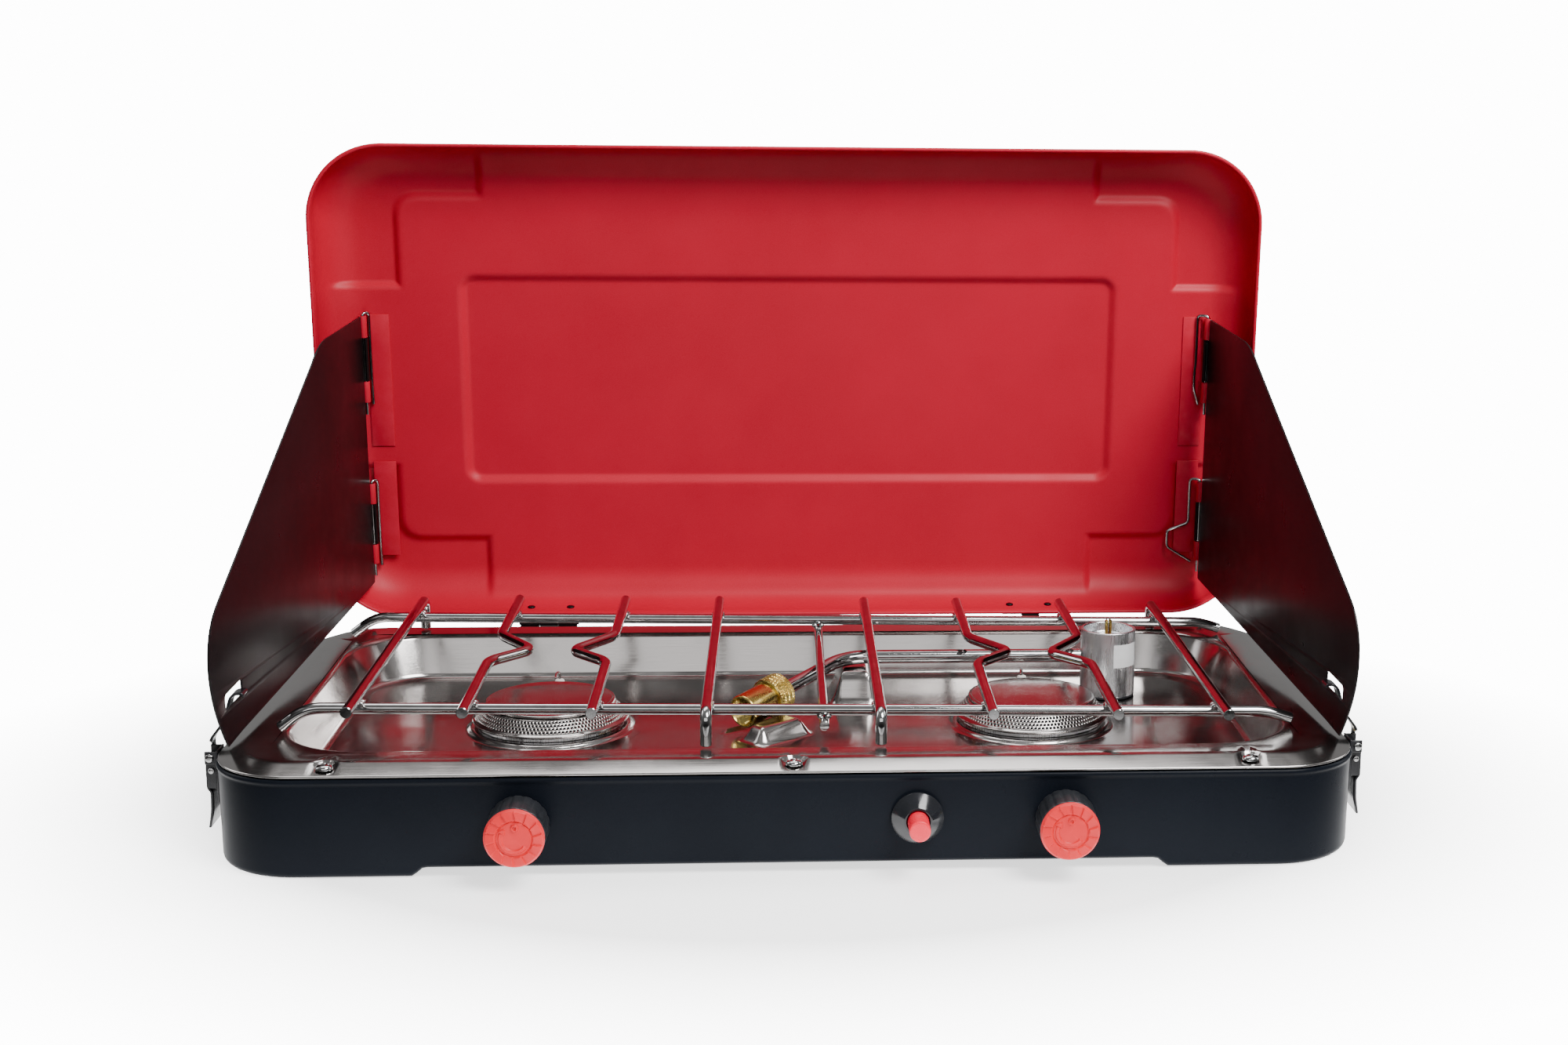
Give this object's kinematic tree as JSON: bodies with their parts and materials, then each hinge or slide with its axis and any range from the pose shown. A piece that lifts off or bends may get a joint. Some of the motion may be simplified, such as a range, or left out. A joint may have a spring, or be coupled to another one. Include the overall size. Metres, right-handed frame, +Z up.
{
  "type": "camp stove",
  "caption": "Folding gas camp stove with a pressed base and drip tray, burners under a wire grate, a hinged lid with fold-out windscreens, knobs, a push igniter and a stowed regulator.",
  "frame": {"origin": "on the table, under the middle of the whole open stove's bounding box", "axes": "+X to the right seen from the front, +Y from the knobs towards the lid, +Z up"},
  "size_m": [0.5982, 0.3574, 0.352],
  "materials": {
    "black_paint": "satin powder coat over pressed steel",
    "black_steel": "semi-gloss dark coating on thin steel",
    "red_paint": "matte red powder coat over pressed steel",
    "stainless": "brushed stainless sheet",
    "nickel": "bright nickel-plated wire",
    "aluminium": "satin drawn aluminium",
    "brass": "machined brass",
    "black_plastic": "moulded black plastic",
    "red_plastic": "moulded coral red plastic",
    "ceramic": "glazed white ceramic insulator with a wire tip"
  },
  "bodies": {
    "base": {"base_pan": "black_paint", "drip_tray": "stainless", "tray_screw_left": "nickel", "tray_screw_middle": "nickel", "tray_screw_right": "nickel", "burner_body_left": "aluminium", "burner_ring_left": "stainless", "burner_cap_left": "stainless", "igniter_electrode_left": "ceramic", "burner_body_right": "aluminium", "burner_ring_right": "stainless", "burner_cap_right": "stainless", "igniter_electrode_right": "ceramic", "gas_manifold": "brass", "gas_inlet_fitting": "brass", "igniter_body": "black_plastic", "igniter_bezel": "black_plastic", "lid_hinge_base_leaf_left": "black_steel", "lid_hinge_base_leaf_right": "black_steel", "latch_bracket_left": "black_steel", "latch_bracket_right": "black_steel"},
    "lid": {"lid_shell": "red_paint", "lid_hinge_lid_leaf_left": "black_steel", "screen_hinge_leaf_left_lower": "red_paint", "screen_hinge_leaf_left_upper": "red_paint", "screen_hinge_pin_left_lower": "nickel", "screen_hinge_pin_left_upper": "nickel", "lid_hinge_lid_leaf_right": "black_steel", "screen_hinge_leaf_right_lower": "red_paint", "screen_hinge_leaf_right_upper": "red_paint", "screen_hinge_pin_right_lower": "nickel", "screen_hinge_pin_right_upper": "nickel"},
    "windscreen_left": {"windscreen_left": "black_steel"},
    "windscreen_right": {"windscreen_right": "black_steel"},
    "grate": {"grate_rail_front": "nickel", "grate_rail_rear": "nickel", "grate_brace": "nickel", "grate_rod_left_1": "nickel", "grate_rod_left_2": "nickel", "grate_rod_left_3": "nickel", "grate_rod_left_4": "nickel", "grate_rod_right_1": "nickel", "grate_rod_right_2": "nickel", "grate_rod_right_3": "nickel", "grate_rod_right_4": "nickel"},
    "knob_left": {"valve_stem_left": "brass", "knob_skirt_left": "black_plastic", "knob_face_left": "red_plastic"},
    "knob_right": {"valve_stem_right": "brass", "knob_skirt_right": "black_plastic", "knob_face_right": "red_plastic"},
    "igniter_button": {"igniter_button": "red_plastic"},
    "regulator": {"regulator_capsule": "aluminium", "regulator_pin": "brass", "regulator_pipe": "nickel"},
    "regulator_nut": {"regulator_nut": "brass"},
    "latch_lever_left": {"latch_lever_left": "black_steel"},
    "latch_lever_right": {"latch_lever_right": "black_steel"},
    "latch_hook_left": {"latch_hook_left": "black_steel"},
    "latch_hook_right": {"latch_hook_right": "black_steel"}
  },
  "joints": [
    {"name": "lid_tilt", "type": "hinge", "parent": "base", "child": "lid", "pos_m": [0, 0.14774, 0.055], "axis": [-1, 0, 0], "range_deg": [0, 40]},
    {"name": "windscreen_left_fold", "type": "hinge", "parent": "lid", "child": "windscreen_left", "pos_m": [-0.262, 0.17168, 0.05667], "axis": [0, -0.0698, 0.9976], "range_deg": [0, 92.5]},
    {"name": "windscreen_right_fold", "type": "hinge", "parent": "lid", "child": "windscreen_right", "pos_m": [0.262, 0.17168, 0.05667], "axis": [0, 0.0698, -0.9976], "range_deg": [0, 86]},
    {"name": "grate_tilt", "type": "hinge", "parent": "base", "child": "grate", "pos_m": [0, 0.12724, 0.059], "axis": [-1, 0, 0], "range_deg": [0, 50]},
    {"name": "regulator_lift", "type": "slide", "parent": "base", "child": "regulator", "axis": [0, 0, 1], "range_m": [0, 0.0025]},
    {"name": "regulator_nut_spin", "type": "hinge", "parent": "regulator", "child": "regulator_nut", "pos_m": [-0.0255, -0.00726, 0.043], "axis": [0.6182, 0.7768, 0.1203], "continuous": true},
    {"name": "igniter_press", "type": "slide", "parent": "base", "child": "igniter_button", "axis": [0, 1, 0], "range_m": [0, 0.004], "stiffness_N_per_m": 400, "springref_m": -0.002},
    {"name": "knob_left_turn", "type": "hinge", "parent": "base", "child": "knob_left", "pos_m": [-0.1355, -0.15426, 0.0287], "axis": [0, -1, 0], "range_deg": [0, 270]},
    {"name": "knob_right_turn", "type": "hinge", "parent": "base", "child": "knob_right", "pos_m": [0.1355, -0.15426, 0.0287], "axis": [0, -1, 0], "range_deg": [0, 270]},
    {"name": "latch_left_open", "type": "hinge", "parent": "base", "child": "latch_lever_left", "pos_m": [-0.296, -0.10026, 0.0495], "axis": [0, 1, 0], "range_deg": [0, 105]},
    {"name": "latch_hook_left_swing", "type": "hinge", "parent": "latch_lever_left", "child": "latch_hook_left", "pos_m": [-0.296, -0.10026, 0.0421], "axis": [0, 1, 0], "range_deg": [-106, 0]},
    {"name": "latch_right_open", "type": "hinge", "parent": "base", "child": "latch_lever_right", "pos_m": [0.296, -0.10026, 0.0495], "axis": [0, -1, 0], "range_deg": [0, 105]},
    {"name": "latch_hook_right_swing", "type": "hinge", "parent": "latch_lever_right", "child": "latch_hook_right", "pos_m": [0.296, -0.10026, 0.0421], "axis": [0, -1, 0], "range_deg": [-106, 0]}
  ],
  "couplings": [
    {"joint": "windscreen_left_fold", "follows": "lid_tilt", "ratio": 2.3},
    {"joint": "windscreen_right_fold", "follows": "lid_tilt", "ratio": 2.14},
    {"joint": "latch_hook_left_swing", "follows": "latch_left_open", "ratio": -1},
    {"joint": "latch_hook_right_swing", "follows": "latch_right_open", "ratio": -1}
  ]
}
